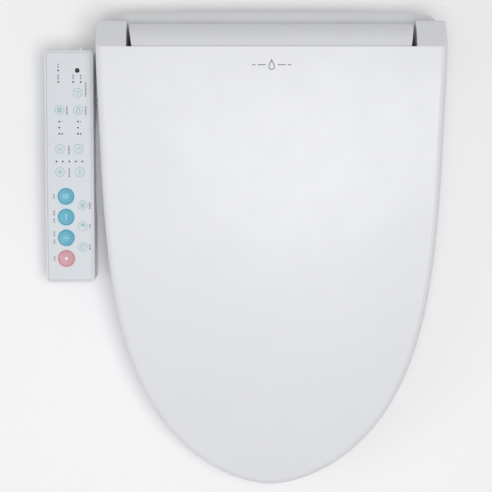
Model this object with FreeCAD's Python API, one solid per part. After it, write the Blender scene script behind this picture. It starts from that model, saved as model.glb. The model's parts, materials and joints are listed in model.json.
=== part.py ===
"""Electric bidet seat, modelled in millimetres.

Frame: +Z up, the user faces -Y, and the control panel is on the -X side.
Origin: the middle of the two mounting bolts, on the plane of the toilet bowl's rim.
Each call of save() writes one sub-part to parts/NODE.step.
"""
import FreeCAD, Part
import math
import os

from FreeCAD import Placement, Rotation
from FreeCAD import Vector as V

os.makedirs("parts", exist_ok=True)

# ---------------------------------------------------------------- driving dimensions
WALL = 2.6                    # moulded wall of every casing
FAR = 400.0                   # longer than any piece, for cutting tools

HINGE_Y, HINGE_Z = -6.0, 100.0    # the common hinge line of lid and seat
PIN_R = 4.0

LID_HALF_WIDTH = 192.6        # at the rear
LID_TIP_Y = -478.5            # front end of the lid
CREASE_Y, CREASE_Z = 3.6, 143.3   # edge between the lid's top and its hinge ears
LID_REAR_Y = 35.2             # rear face of the hinge ears
LID_SLOPE, LID_CURVE = 0.045, 2.22e-4    # fall of the top: s*slope + s*s*curve
LID_CROWN = 5.0               # drop of the top at its side edges
LID_DRAFT = 3.5               # the skirt leans in by this much at the top
EAR_SLOPE = 0.865             # fall of the ears' flat back per mm towards the rear
EAR_INNER_X = 156.8           # ears run outward from here
LID_PIN_END = 188.9           # outer end of both hinge pins
SKIRT_FRONT_Z, SKIRT_REAR_Z = 45.5, 62.0
SKIRT_REAR_Y = -46.0
LID_PADS = [(-144.0, -235.0), (144.0, -235.0), (-72.0, -430.0), (72.0, -430.0)]
LID_PAD_GAP, LID_PAD_THICK = 0.8, 4.5

HUMP_HALF, HUMP_RADIUS = 155.3, 39.3     # rounded housing between the ears
HUMP_FRONT_HALF = 151.0       # its ends flare from here to the full half width
UNIT_HALF = 190.0             # half width of the rear unit
UNIT_REAR_Y = 53.5
UNIT_BOTTOM_Z = 2.0
WING_TOP_Z = 51.0             # top of the unit under the ears
WING_FRONT_Y = -50.0
POCKET_RADIUS = 47.2          # space that the turning ears need
LEDGE_Z = 74.0                # rear ledge behind the ears
NOSE_HALF, NOSE_FRONT_Y, NOSE_TOP_Z = 118.0, -114.0, 57.0   # low front part with the nozzles
PARTING_Z = 44.0              # joint between base housing and top cover
SLOPE_FOOT_Y = -65.5          # foot of the slope in front of the hump

SEAT_INSET = 5.2              # seat edge inside the lid's outline
SEAT_BOTTOM_Z, SEAT_FRONT_Z, SEAT_REAR_Z = 8.0, 52.0, 76.0
SEAT_REAR_Y = -56.0
ARM_X0, ARM_X1 = 165.5, 177.0     # the seat's hinge arms, inside the ears
SEAT_PART_Z = 15.0            # joint between seat top and seat base
OPENING_Y, OPENING_LONG, OPENING_WIDE = -268.0, 148.0, 108.0   # middle and half sizes
BRIDGE_Z, BRIDGE_REAR_Y = 60.0, -72.0    # underside and rear edge of the seat over the unit's nose

PLATE_HALF, PLATE_BACK, PLATE_FRONT, PLATE_THICK = 105.0, 40.0, -40.0, 7.0
BOLT_SPACING, BOLT_SLOT_WIDE, BOLT_SLOT_LONG = 140.0, 9.0, 34.0

NOZZLE_TILT = 20.0            # degrees below the horizontal
NOZZLE_R, NOZZLE_LONG = 6.5, 128.0
NOZZLE_TIP = (-107.0, 30.0)   # Y, Z of the tip's centre when drawn in
NOZZLE_X = {"rear_wash": -11.0, "front_wash": 11.0}
GEAR_MODULE, GEAR_TEETH = 1.0, 14
GEAR_ALONG = 27.0             # from the nozzle's tip to the gear, along the nozzle
RACK_PITCH_LINE = -7.7        # below the nozzle's axis
BACKLASH = 0.09               # taken off each flank of rack and gear
RUNNING = 0.08                # radial clearance of turning shafts

PANEL_X, PANEL_Y, PANEL_Z = -225.2, 7.0, 82.0    # rear end of the panel's top face
PANEL_SLOPE = 4.9             # degrees, front end lower
PANEL_HALF, PANEL_LONG = 27.5, 260.0
BIG_BUTTON_R, SMALL_BUTTON_R = 9.0, 4.9
# name: (across, along) on the panel's top face, from its axis and its rear end
BIG_BUTTONS = {
    "button_dry": (-4.2, 163.0),
    "button_front_wash": (-4.2, 186.3),
    "button_rear_wash": (-4.2, 209.6),
    "button_stop": (-4.2, 232.9),
}
SMALL_BUTTONS = {
    "button_nozzle_clean": (9.8, 47.4),
    "button_seat_heat": (-10.5, 66.4),
    "button_water_heat": (10.3, 66.4),
    "button_nozzle_forward": (-10.5, 109.9),
    "button_nozzle_back": (10.3, 109.9),
    "button_pressure_up": (-10.5, 135.7),
    "button_pressure_down": (11.6, 135.7),
    "button_massage": (14.4, 173.0),
    "button_pulse": (14.4, 196.6),
    "button_auto": (14.4, 219.9),
}
LED_R = 0.95
LEDS = (
    [(-11.6, 22.6), (-11.6, 35.4), (5.0, 35.4), (13.6, 35.4)]
    + [(x, 79.4 + 6.8 * i) for x in (-10.9, 9.9) for i in range(3)]
    + [(7.25 * i, 124.0) for i in range(-2, 3)]
)
SENSOR = (9.6, 22.6)
SENSOR_R = 2.6


# ---------------------------------------------------------------- helpers
def save(name, *shapes):
    """Writes one node. Several shapes become separate solids of the same node."""
    solids = [s for shape in shapes for s in shape.Solids]
    for s in solids:
        if not s.isValid() or s.Volume <= 0:
            print("BAD SOLID in", name)
    out = solids[0] if len(solids) == 1 else Part.makeCompound(solids)
    out.exportStep(f"parts/{name}.step")


def box(x0, x1, y0, y1, z0, z1):
    return Part.makeBox(x1 - x0, y1 - y0, z1 - z0, V(x0, y0, z0))


def rod(start, direction, radius, length):
    return Part.makeCylinder(radius, length, V(*start), V(*direction))


def rod_x(x0, x1, y, z, radius):
    return rod((x0, y, z), (1, 0, 0), radius, x1 - x0)


def tube_x(x0, x1, y, z, outer, inner):
    return rod_x(x0, x1, y, z, outer).cut(rod_x(x0 - 1, x1 + 1, y, z, inner))


def face(points):
    """A flat face from a closed list of corners."""
    return Part.Face(Part.makePolygon([V(*p) for p in points] + [V(*points[0])]))


def prism_x(corners, x0, x1):
    """A side outline of (y, z) corners, pushed along X."""
    return face([(x0, y, z) for y, z in corners]).extrude(V(x1 - x0, 0, 0))


def prism_z(corners, z0, z1):
    """A plan outline of (x, y) corners, pushed along Z."""
    return face([(x, y, z0) for x, y in corners]).extrude(V(0, 0, z1 - z0))


def rounded_box(x0, x1, y0, y1, z0, z1, radius, axis="z"):
    """A box whose four edges along one axis are rounded."""
    solid = box(x0, x1, y0, y1, z0, z1)
    along = {"x": V(1, 0, 0), "y": V(0, 1, 0), "z": V(0, 0, 1)}[axis]
    edges = [e for e in solid.Edges if abs(e.tangentAt(e.FirstParameter).dot(along)) > 0.99]
    return solid.makeFillet(radius, edges)


def fuse(*shapes):
    out = shapes[0]
    for s in shapes[1:]:
        out = out.fuse(s)
    return out.removeSplitter()


def filleted(solid, radius, wanted):
    """Rounds the edges that wanted(edge) picks, or leaves the solid as it is if that fails."""
    edges = [e for e in solid.Edges if wanted(e)]
    try:
        out = solid.makeFillet(radius, edges)
        if out.isValid() and out.Volume > 0:
            return out
    except Part.OCCError:
        pass
    print("fillet of", radius, "skipped on", len(edges), "edges")
    return solid


def mirrored(shape):
    return shape.mirror(V(0, 0, 0), V(1, 0, 0))


def screw(x, y, z, direction, head_r=3.2, shank_r=1.5, length=12.0):
    """A pan-head screw with a cross slot; the shank points along direction."""
    d = V(*direction)
    head = rod((x, y, z), tuple(-d), head_r, 2.2)
    shank = rod((x, y, z), tuple(d), shank_r, length)
    top = V(x, y, z) - d * 2.2
    slot_a = box(-2.0, 2.0, -0.4, 0.4, -1.0, 0.4)
    slot_b = box(-0.4, 0.4, -2.0, 2.0, -1.0, 0.4)
    turn = Placement(top, Rotation(V(0, 0, 1), -d))
    slots = slot_a.fuse(slot_b)
    slots.Placement = turn
    return head.fuse(shank).cut(slots).removeSplitter()


# ---------------------------------------------------------------- lid shape
def lid_half_width(y):
    """Half width of the lid's plan outline: a blunt superellipse with a slight taper."""
    if y > CREASE_Y:
        return LID_HALF_WIDTH - 0.06 * (y - CREASE_Y)
    t = (CREASE_Y - y) / (CREASE_Y - LID_TIP_Y)
    return LID_HALF_WIDTH * (1 - 0.0944 * t) * max(0.0, 1 - t**4.429) ** (1 / 1.765)


def lid_outline(z, inset, rear_y):
    """Closed plan outline at height z: one smooth curve round the front and a straight rear."""
    stations = (0.0, 0.15, 0.3, 0.45, 0.58, 0.69, 0.78, 0.855, 0.915, 0.96, 0.988)
    ys = [rear_y] + [CREASE_Y - t * (CREASE_Y - LID_TIP_Y) for t in stations]
    ys = [rear_y] + [y for y in ys[1:] if y < rear_y - 15]
    side = [V(lid_half_width(y), y, z) for y in ys]
    points = side + [V(0, LID_TIP_Y, z)] + [V(-p.x, p.y, z) for p in reversed(side)]
    curve = Part.BSplineCurve()
    curve.interpolate(points)
    if inset:
        moved = []
        for p in points:
            tangent = V(*curve.tangent(curve.parameter(p))[0])
            moved.append(p + V(tangent.y, -tangent.x, 0) * inset)
        moved[0].y = moved[-1].y = rear_y
        curve = Part.BSplineCurve()
        curve.interpolate(moved)
    edge = curve.toShape()
    start, end = edge.Vertexes[0].Point, edge.Vertexes[-1].Point
    return Part.Wire([edge, Part.makeLine(end, start)])


def lid_top_z(y):
    s = CREASE_Y - y
    return CREASE_Z - LID_SLOPE * s - LID_CURVE * s * s


def lid_crown(x, y):
    """How far the top has dropped at x, growing from the crease towards the front."""
    grow = min(1.0, max(0.0, (CREASE_Y - y) / 220.0))
    return LID_CROWN * (x / 200.0) ** 2 * grow * grow * (3 - 2 * grow)


def lid_side_profile(x, lower):
    """Closed side outline at x: the top curve, the sloping back of the ears and a flat bottom."""
    across = math.sqrt(1 + EAR_SLOPE**2)
    crease_y = CREASE_Y - lower * (across - 1) / (EAR_SLOPE + LID_SLOPE)
    ys = [-500.0, -400.0, -300.0, -200.0, -120.0, -60.0, crease_y]
    top = Part.BSplineCurve()
    top.interpolate([V(x, y, lid_top_z(y) - lid_crown(x, y) - lower) for y in ys])
    # the rear corner is rounded off over 2 mm of each side
    rear_y = LID_REAR_Y - lower
    corner = V(x, rear_y, CREASE_Z - EAR_SLOPE * (rear_y - CREASE_Y) - lower * across)
    up, down = V(0, -1 / across, EAR_SLOPE / across), V(0, 0, -1)
    half = math.acos(-EAR_SLOPE / across) / 2
    inward = (up + down).normalize() * (2.0 * (1 - math.sin(half)) / math.cos(half))
    round_start, round_end = corner + up * 2.0, corner + down * 2.0
    arc = Part.Arc(round_start, corner + inward, round_end).toShape()
    slope = Part.makeLine(top.value(top.LastParameter), round_start)
    corners = [round_end, V(x, rear_y, -10), V(x, ys[0], -10), top.value(top.FirstParameter)]
    lines = [Part.makeLine(p, q) for p, q in zip(corners, corners[1:])]
    return Part.Wire([top.toShape(), slope, arc] + lines)


def lid_block(inset, lower, rounding):
    """The lid as a full block: tapered outline below the crowned top."""
    walls = Part.makeLoft(
        [lid_outline(30, inset, LID_REAR_Y + 25), lid_outline(165, inset + LID_DRAFT, LID_REAR_Y + 25)],
        True, True)
    under_top = Part.makeLoft(
        [lid_side_profile(x, lower) for x in (-205, -110, 0, 110, 205)], True, False)
    block = walls.common(under_top)

    def top_edge(e):
        m = e.valueAt((e.FirstParameter + e.LastParameter) / 2)
        on_top = m.z > lid_top_z(min(m.y, CREASE_Y)) - lower - LID_CROWN - 1.5
        return on_top and m.y < CREASE_Y - 1 and e.Length > 60 and abs(m.y - CREASE_Y) > 1
    return filleted(block, rounding, top_edge)


def build_lid():
    outer = lid_block(0.0, 0.0, 7.0)
    inner = lid_block(WALL + 0.2, WALL, 4.5)
    shell = outer.cut(inner)
    # inner walls that close the ears beside the hump
    ear_wall = box(EAR_INNER_X, EAR_INNER_X + 3.6, -44, LID_REAR_Y, 50, 150)
    walls = outer.common(ear_wall.fuse(mirrored(ear_wall)))
    posts, pads = lid_posts(inner)
    # bosses round the hinge pins, on the inside of the outer skirt
    boss = rod_x(LID_PIN_END - 4.0, LID_PIN_END + 1.4, HINGE_Y, HINGE_Z, 9.0)
    shell = shell.fuse(walls).fuse(boss).fuse(mirrored(boss)).fuse(posts)
    # the opening for the hump is wider at the rear, where the hump's ends flare
    gap = prism_z([(-EAR_INNER_X, CREASE_Y), (EAR_INNER_X, CREASE_Y),
                   (EAR_INNER_X + 1.4, LID_REAR_Y + 5), (-EAR_INNER_X - 1.4, LID_REAR_Y + 5)],
                  0, 200)
    above = prism_x([(-500, SKIRT_FRONT_Z), (SKIRT_REAR_Y, SKIRT_REAR_Z), (HINGE_Y, SKIRT_REAR_Z),
                     (HINGE_Y, 200), (-500, 200)], -FAR, FAR)
    kept = above.fuse(box(-FAR, FAR, HINGE_Y, 60, HINGE_Z, 200))
    kept = kept.fuse(rod_x(-FAR, FAR, HINGE_Y, HINGE_Z, 43.5))
    shell = shell.common(kept).cut(gap)
    # pin holes: left pin turns with the lid, right pin turns inside it
    shell = shell.cut(rod_x(-LID_PIN_END - 0.4, -150, HINGE_Y, HINGE_Z, PIN_R + 0.02))
    shell = shell.cut(rod_x(150, LID_PIN_END + 0.4, HINGE_Y, HINGE_Z, PIN_R + RUNNING))
    # stiffening ribs under the top
    for x in (-70.0, 70.0):
        rib = box(x - 0.9, x + 0.9, -440, -60, 0, 160).common(outer)
        shell = shell.fuse(rib.common(lid_rib_band()))
    save("lid_shell", shell.removeSplitter())
    save("lid_bumpers", *pads)
    pin = rod_x(-LID_PIN_END, -132, HINGE_Y, HINGE_Z, PIN_R)
    flats = box(-200, 5.5 - LID_PIN_END, HINGE_Y - 6, HINGE_Y - 3.2, 90, 110)
    save("lid_hinge_pin", pin.cut(flats))


def lid_under(lower):
    """Everything under the lid's top surface, lowered."""
    return Part.makeLoft([lid_side_profile(x, lower) for x in (-205, -110, 0, 110, 205)], True, False)


def lid_rib_band():
    """A band 6 mm deep that follows the underside of the lid's top."""
    return lid_under(WALL - 0.1).cut(lid_under(WALL + 5.0))


def lid_posts(inner):
    """Cross-shaped posts under the lid's top, and the rubber pads they end in."""
    posts, pads = [], []
    for x, y in LID_PADS:
        foot = seat_top_z(y) + LID_PAD_GAP
        pads.append(rod((x, y, foot), (0, 0, 1), 6.5, LID_PAD_THICK))
        cross = box(x - 6, x + 6, y - 0.9, y + 0.9, foot, 160)
        cross = cross.fuse(box(x - 0.9, x + 0.9, y - 6, y + 6, foot, 160))
        disc = rod((x, y, foot + LID_PAD_THICK), (0, 0, 1), 6.5, 1.6)
        cross = cross.cut(rod((x, y, foot - 1), (0, 0, 1), 12, 1 + LID_PAD_THICK))
        posts.append(cross.fuse(disc).common(lid_under(WALL - 0.3)))
    return posts[0].fuse(posts[1:]), pads


# ---------------------------------------------------------------- seat shape
def seat_top_z(y):
    t = max(0.0, min(1.0, (y + 473.0) / 407.0))
    return SEAT_FRONT_Z + (SEAT_REAR_Z - SEAT_FRONT_Z) * t**1.2


def seat_opening(grow, z0, z1):
    """The egg-shaped hole as a solid, grown sideways by grow."""
    points = []
    count = 20
    for i in range(count):
        a = 2 * math.pi * i / count
        c, s = math.cos(a), math.sin(a)
        power = 2 / 2.3
        x = (OPENING_WIDE + grow) * math.copysign(abs(c) ** power, c)
        y = OPENING_Y + (OPENING_LONG + grow) * math.copysign(abs(s) ** power, s)
        points.append(V(x, y, z0))
    curve = Part.BSplineCurve()
    curve.interpolate(points, PeriodicFlag=True)
    return Part.Face(Part.Wire([curve.toShape()])).extrude(V(0, 0, z1 - z0))


def seat_block(t, outer_round, inner_round):
    """The seat ring as a full block, shrunk on every side by t."""
    outline = Part.Face(lid_outline(SEAT_BOTTOM_Z + t, SEAT_INSET + t, SEAT_REAR_Y + SEAT_INSET))
    block = outline.extrude(V(0, 0, 120))
    ys = [-500.0, -420.0, -330.0, -240.0, -150.0, -90.0, -40.0]
    top = Part.BSplineCurve()
    top.interpolate([V(-FAR, y, seat_top_z(y) - t) for y in ys])
    edge = top.toShape()
    ends = [edge.Vertexes[-1].Point, V(-FAR, -40, -5), V(-FAR, -500, -5), edge.Vertexes[0].Point]
    lines = [Part.makeLine(a, b) for a, b in zip(ends, ends[1:])]
    under = Part.Face(Part.Wire([edge] + lines)).extrude(V(2 * FAR, 0, 0))
    block = block.common(under).cut(seat_opening(t, -10, 130))

    def upper(e):
        m = e.valueAt((e.FirstParameter + e.LastParameter) / 2)
        return m.z > seat_top_z(m.y) - t - 0.6

    def inner(e):
        m = e.valueAt((e.FirstParameter + e.LastParameter) / 2)
        return upper(e) and e.Length > 600 and abs(m.x) < OPENING_WIDE + 8 and m.y > -450

    def outer(e):
        return upper(e) and not inner(e)
    block = filleted(block, inner_round, inner)
    block = filleted(block, outer_round, outer)
    nose = box(-NOSE_HALF - 4 - t, NOSE_HALF + 4 + t, -128 - t, 10, -20, BRIDGE_Z + t)
    throat = box(-104 - t, 104 + t, -188 - t, 10, -20, BRIDGE_Z + t)
    rear = box(-NOSE_HALF - 4 - t, NOSE_HALF + 4 + t, BRIDGE_REAR_Y - t, 10, -20, 200)
    return block.cut(nose).cut(throat).cut(rear)


def seat_arm():
    """The right-hand arm that carries the seat on its hinge pin, inside the lid's ear."""
    a = math.radians(118)
    top_y = HINGE_Y + 16 * math.cos(a)
    top_z = HINGE_Z + 16 * math.sin(a)
    arm = prism_x([(-78, 66), (top_y, top_z), (HINGE_Y + 6, HINGE_Z - 14), (-53.5, 57), (-60, 50), (-78, 50)],
                  ARM_X0, ARM_X1)
    arm = arm.fuse(rod_x(ARM_X0, ARM_X1, HINGE_Y, HINGE_Z, 16.0))
    return arm.removeSplitter()


def build_seat():
    outer = seat_block(0.0, 11.0, 15.0)
    inner = seat_block(3.0, 8.0, 12.0)
    shell = outer.cut(inner)
    top = shell.common(box(-FAR, FAR, -600, 100, SEAT_PART_Z, 200))
    base = shell.common(box(-FAR, FAR, -600, 100, 0, SEAT_PART_Z - 0.3))
    arms = seat_arm()
    left_arm = mirrored(arms).cut(rod_x(-FAR, 0, HINGE_Y, HINGE_Z, PIN_R + RUNNING))
    right_arm = arms.cut(rod_x(0, FAR, HINGE_Y, HINGE_Z, PIN_R + 0.02))
    top = top.fuse(left_arm.fuse(right_arm)).removeSplitter()
    save("seat_top", top)
    for x, y in SEAT_POSTS:
        base = base.fuse(rod((x, y, SEAT_BOTTOM_Z + 2.5), (0, 0, 1), 4.0, 10))
    for x, y in SEAT_PADS:
        base = base.cut(rod((x, y, SEAT_BOTTOM_Z - 1), (0, 0, 1), 3.0, 10))
    save("seat_base", base.removeSplitter())
    pads = []
    for x, y in SEAT_PADS:
        foot = rod((x, y, 0), (0, 0, 1), 9.0, SEAT_BOTTOM_Z)
        foot = filleted(foot, 1.5, lambda e: e.CenterOfMass.z < 0.1)
        pads.append(foot.fuse(rod((x, y, SEAT_BOTTOM_Z - 0.5), (0, 0, 1), 2.9, 4)).removeSplitter())
    save("seat_bumpers", *pads)
    # heating foil bonded under the seat's top
    foil_out = seat_block(3.05, 8.0, 12.0)
    foil_in = seat_block(3.45, 7.6, 11.6)
    band = box(-FAR, FAR, -460, -200, 30, 200)
    foil = foil_out.cut(foil_in).common(band).cut(seat_opening(22, 0, 200))
    keep = Part.Face(lid_outline(20, SEAT_INSET + 18, SEAT_REAR_Y)).extrude(V(0, 0, 150))
    save("seat_heater", foil.common(keep))
    save("seat_hinge_pin", rod_x(132, LID_PIN_END, HINGE_Y, HINGE_Z, PIN_R))


SEAT_PADS = [(-140.0, -190.0), (140.0, -190.0), (-84.0, -418.0), (84.0, -418.0)]
SEAT_POSTS = [(-165.0, -110.0), (165.0, -110.0), (-146.0, -300.0), (146.0, -300.0), (0.0, -445.0)]


# ---------------------------------------------------------------- rear unit
def unit_plan(t):
    """Plan outline of the whole rear unit as a flat face, shrunk by t."""
    r = 24.0
    bow = 4.0
    x, back = UNIT_HALF, UNIT_REAR_Y
    shoulder = (x - r, back - bow)
    d = r * (1 - math.sqrt(0.5))
    parts = [
        Part.Arc(V(-shoulder[0], shoulder[1], 0), V(0, back, 0), V(shoulder[0], shoulder[1], 0)),
        Part.Arc(V(shoulder[0], shoulder[1], 0), V(x - d, back - bow - d, 0), V(x, back - bow - r, 0)),
    ]
    right = [V(x, back - bow - r, 0), V(x, WING_FRONT_Y, 0), V(NOSE_HALF, WING_FRONT_Y, 0),
             V(NOSE_HALF, NOSE_FRONT_Y + r, 0)]
    left = [V(-p.x, p.y, 0) for p in reversed(right)]
    edges = [p.toShape() for p in parts]
    edges += [Part.makeLine(a, b) for a, b in zip(right, right[1:])]
    corner = Part.Arc(right[-1], V(NOSE_HALF - d, NOSE_FRONT_Y + d, 0), V(NOSE_HALF - r, NOSE_FRONT_Y, 0))
    edges.append(corner.toShape())
    edges.append(Part.makeLine(V(NOSE_HALF - r, NOSE_FRONT_Y, 0), V(r - NOSE_HALF, NOSE_FRONT_Y, 0)))
    corner = Part.Arc(V(r - NOSE_HALF, NOSE_FRONT_Y, 0), V(d - NOSE_HALF, NOSE_FRONT_Y + d, 0), left[0])
    edges.append(corner.toShape())
    edges += [Part.makeLine(a, b) for a, b in zip(left, left[1:])]
    corner = Part.Arc(left[-1], V(d - x, back - bow - d, 0), V(-shoulder[0], shoulder[1], 0))
    edges.append(corner.toShape())
    plan = Part.Face(Part.Wire(Part.__sortEdges__(edges)))
    return plan.makeOffset2D(-t) if t else plan


def rear_edges(x, start):
    """Side outline from start over the rounded ledge and down the rear wall to the bottom."""
    ledge = V(x, 34.0, LEDGE_Z)
    round_start, round_mid, round_end = V(x, 40.0, 73.0), V(x, 49.3, 67.3), V(x, 53.2, 56.0)
    rear_bottom = V(x, UNIT_REAR_Y + 5, UNIT_BOTTOM_Z)
    edges = [Part.makeLine(start, ledge), Part.makeLine(ledge, round_start),
             Part.Arc(round_start, round_mid, round_end).toShape(), Part.makeLine(round_end, rear_bottom)]
    return edges, rear_bottom


def unit_side(t):
    """Side outline of the hump and the ledge behind it, shrunk by t, as a solid."""
    c = V(-HUMP_HALF, HINGE_Y, HINGE_Z)
    foot = V(-HUMP_HALF, SLOPE_FOOT_Y, NOSE_TOP_Z)
    to_centre = c - foot
    reach = math.sqrt(to_centre.Length**2 - HUMP_RADIUS**2)
    up = math.atan2(to_centre.z, to_centre.y) + math.asin(HUMP_RADIUS / to_centre.Length)
    touch = foot + V(0, math.cos(up), math.sin(up)) * reach
    rear_z = LEDGE_Z + 1.5
    rear = V(-HUMP_HALF, HINGE_Y + math.sqrt(HUMP_RADIUS**2 - (rear_z - HINGE_Z) ** 2), rear_z)
    top = V(-HUMP_HALF, HINGE_Y, HINGE_Z + HUMP_RADIUS)
    tail, rear_bottom = rear_edges(-HUMP_HALF, rear)
    front_bottom = V(-HUMP_HALF, SLOPE_FOOT_Y, UNIT_BOTTOM_Z)
    edges = [Part.Arc(touch, top, rear).toShape()] + tail
    edges += [Part.makeLine(rear_bottom, front_bottom), Part.makeLine(front_bottom, foot), Part.makeLine(foot, touch)]
    side = Part.Face(Part.Wire(Part.__sortEdges__(edges)))
    if t:
        side = side.makeOffset2D(-t)
    side.translate(V(t, 0, 0))
    return side.extrude(V(2 * (HUMP_HALF - t), 0, 0))


def hump_plan(t):
    """Plan of the hump, whose ends flare towards the rear, as a tall block shrunk by t."""
    front, back = HUMP_FRONT_HALF - t, HUMP_HALF - t
    right = [(front, -200), (front, CREASE_Y), (back, CREASE_Y + 27), (back, 100)]
    return prism_z(right + [(-x, y) for x, y in reversed(right)], -20, 200)


def unit_block(t):
    """The rear unit as a full block, shrunk on every side by t."""
    plan = unit_plan(t)
    column = plan.extrude(V(0, 0, 200))
    hump = unit_side(t).common(column).common(hump_plan(t))
    start = V(-UNIT_HALF, 20, LEDGE_Z)
    tail, rear_bottom = rear_edges(-UNIT_HALF, start)
    corners = [rear_bottom, V(-UNIT_HALF, WING_FRONT_Y, UNIT_BOTTOM_Z), V(-UNIT_HALF, WING_FRONT_Y, WING_TOP_Z),
               V(-UNIT_HALF, 20, WING_TOP_Z), start]
    edges = tail + [Part.makeLine(p, q) for p, q in zip(corners, corners[1:])]
    wide = Part.Face(Part.Wire(Part.__sortEdges__(edges)))
    if t:
        wide = wide.makeOffset2D(-t)
    wide.translate(V(t, 0, 0))
    wide = wide.extrude(V(2 * (UNIT_HALF - t), 0, 0)).common(column)
    pocket = rod_x(HUMP_HALF + 0.6 - t, FAR, HINGE_Y, HINGE_Z, POCKET_RADIUS + t)
    wide = wide.cut(pocket).cut(mirrored(pocket))
    nose = box(-NOSE_HALF + t, NOSE_HALF - t, NOSE_FRONT_Y - 1, WING_FRONT_Y + 8,
               UNIT_BOTTOM_Z + t, NOSE_TOP_Z - t).common(column)
    block = hump.fuse(wide).fuse(nose)
    plate_room = box(-112 - t, 112 + t, -46 - t, 80, -5, 9.5 + t)
    hose_room = box(-UNIT_HALF - 20, -138 + t, 4 - t, 80, -5, 28 + t)
    block = block.cut(plate_room).cut(hose_room)
    return block.removeSplitter()


def along_nozzle(shape):
    """Moves a shape modelled along +Y from the origin onto the nozzle's tilted axis."""
    out = shape.copy()
    out.Placement = Placement(V(0, *NOZZLE_TIP), Rotation(V(1, 0, 0), NOZZLE_TILT)) * shape.Placement
    return out


DRYER_X0, DRYER_X1, DRYER_Z0, DRYER_Z1 = 32.0, 68.0, 18.0, 38.0
FILTER_Y0, FILTER_Y1, FILTER_Z0, FILTER_Z1 = 4.0, 34.0, 13.0, 35.0
LATCH_Y0, LATCH_Y1, LATCH_Z0, LATCH_Z1 = -36.0, -24.0, 14.0, 26.0
CORD_X, CORD_Z, CORD_BORE_R = 160.0, 22.0, 3.8
BRACKET_Y0, BRACKET_Y1, BRACKET_Z0, BRACKET_Z1 = -46.0, 0.0, 30.5, 43.0
INLET_X, INLET_Y = -164.0, 30.0


def nozzle_port(grow):
    """The obround port that both nozzles pass through, along their axis."""
    solid = rounded_box(-21.5 - grow, 21.5 + grow, -30, 40, -10.5 - grow, 8.5 + grow, 6.0, "y")
    return along_nozzle(solid)


def build_housings():
    shell = unit_block(0).cut(unit_block(WALL))
    lower = shell.common(box(-FAR, FAR, -300, 100, 0, PARTING_Z - 0.3))
    upper = shell.common(box(-FAR, FAR, -300, 100, PARTING_Z, 200))
    # tongue inside the joint
    core = unit_block(WALL + 1.4)
    tongue_root = unit_block(WALL - 0.5).common(box(-FAR, FAR, -300, 100, PARTING_Z - 5, PARTING_Z - 0.3))
    tongue = unit_block(WALL + 0.1).common(box(-FAR, FAR, -300, 100, PARTING_Z - 0.4, PARTING_Z + 3))
    lower = lower.fuse(tongue_root.fuse(tongue).cut(core))
    lower = lower.cut(nozzle_port(0))
    upper = upper.cut(nozzle_port(0))
    lower = lower.cut(rounded_box(DRYER_X0, DRYER_X1, -130, -100, DRYER_Z0, DRYER_Z1, 3.0, "y"))
    # intake slots of the deodoriser, beside the dryer's outlet
    for i in range(5):
        x = 77 + 5.2 * i
        lower = lower.cut(rounded_box(x, x + 2.6, -130, -100, 18, 38, 1.2, "y"))
    lower = lower.cut(rounded_box(180, 200, FILTER_Y0 - 0.5, FILTER_Y1 + 0.5, FILTER_Z0 - 0.5, FILTER_Z1 + 0.5, 3.0, "x"))
    lower = lower.cut(rounded_box(180, 200, LATCH_Y0 - 0.5, LATCH_Y1 + 0.5, LATCH_Z0 - 0.5, LATCH_Z1 + 0.5, 3.0, "x"))
    lower = lower.cut(rod((CORD_X, 30, CORD_Z), (0, 1, 0), 8.0, 40))
    lower = lower.cut(rounded_box(-200, -180, BRACKET_Y0 + 5, BRACKET_Y1 - 5, BRACKET_Z0 + 2, BRACKET_Z1 - 2, 3.0, "x"))
    lower = lower.cut(box(91, 104.5, -37, -25, 8, 13))
    lower = lower.cut(rod((INLET_X, INLET_Y, 20), (0, 0, 1), 9.0, 20))
    # holes that the hinge pins pass through
    pin_hole = rod_x(146, 158, HINGE_Y, HINGE_Z, PIN_R + 1.0)
    upper = upper.cut(pin_hole).cut(mirrored(pin_hole))
    # screw bosses that join the two shells
    for x, y in HOUSING_SCREWS:
        boss = rod((x, y, UNIT_BOTTOM_Z + 1), (0, 0, 1), 4.2, 38)
        boss = boss.cut(rod((x, y, 0), (0, 0, 1), 1.5, 60))
        lower = lower.fuse(boss).cut(rod((x, y, 0), (0, 0, 1), 3.6, 5.0))
    save("base_housing", lower.removeSplitter())
    save("top_cover", upper.removeSplitter())
    save("housing_screws", *[screw(x, y, 5.0, (0, 0, 1), 3.2, 1.45, 22) for x, y in HOUSING_SCREWS])
    feet = []
    for x, y in UNIT_FEET:
        feet.append(filleted(rod((x, y, 0), (0, 0, 1), 8.0, UNIT_BOTTOM_Z), 0.6, lambda e: e.CenterOfMass.z < 0.1))
    save("unit_feet", *feet)


HOUSING_SCREWS = [(-172.0, -38.0), (172.0, -8.0), (-102.0, -82.0), (104.0, -92.0), (128.0, 40.0), (-128.0, 44.0)]
UNIT_FEET = [(-150.0, -28.0), (150.0, -28.0), (-126.0, 36.0), (178.0, 40.0)]


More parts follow.
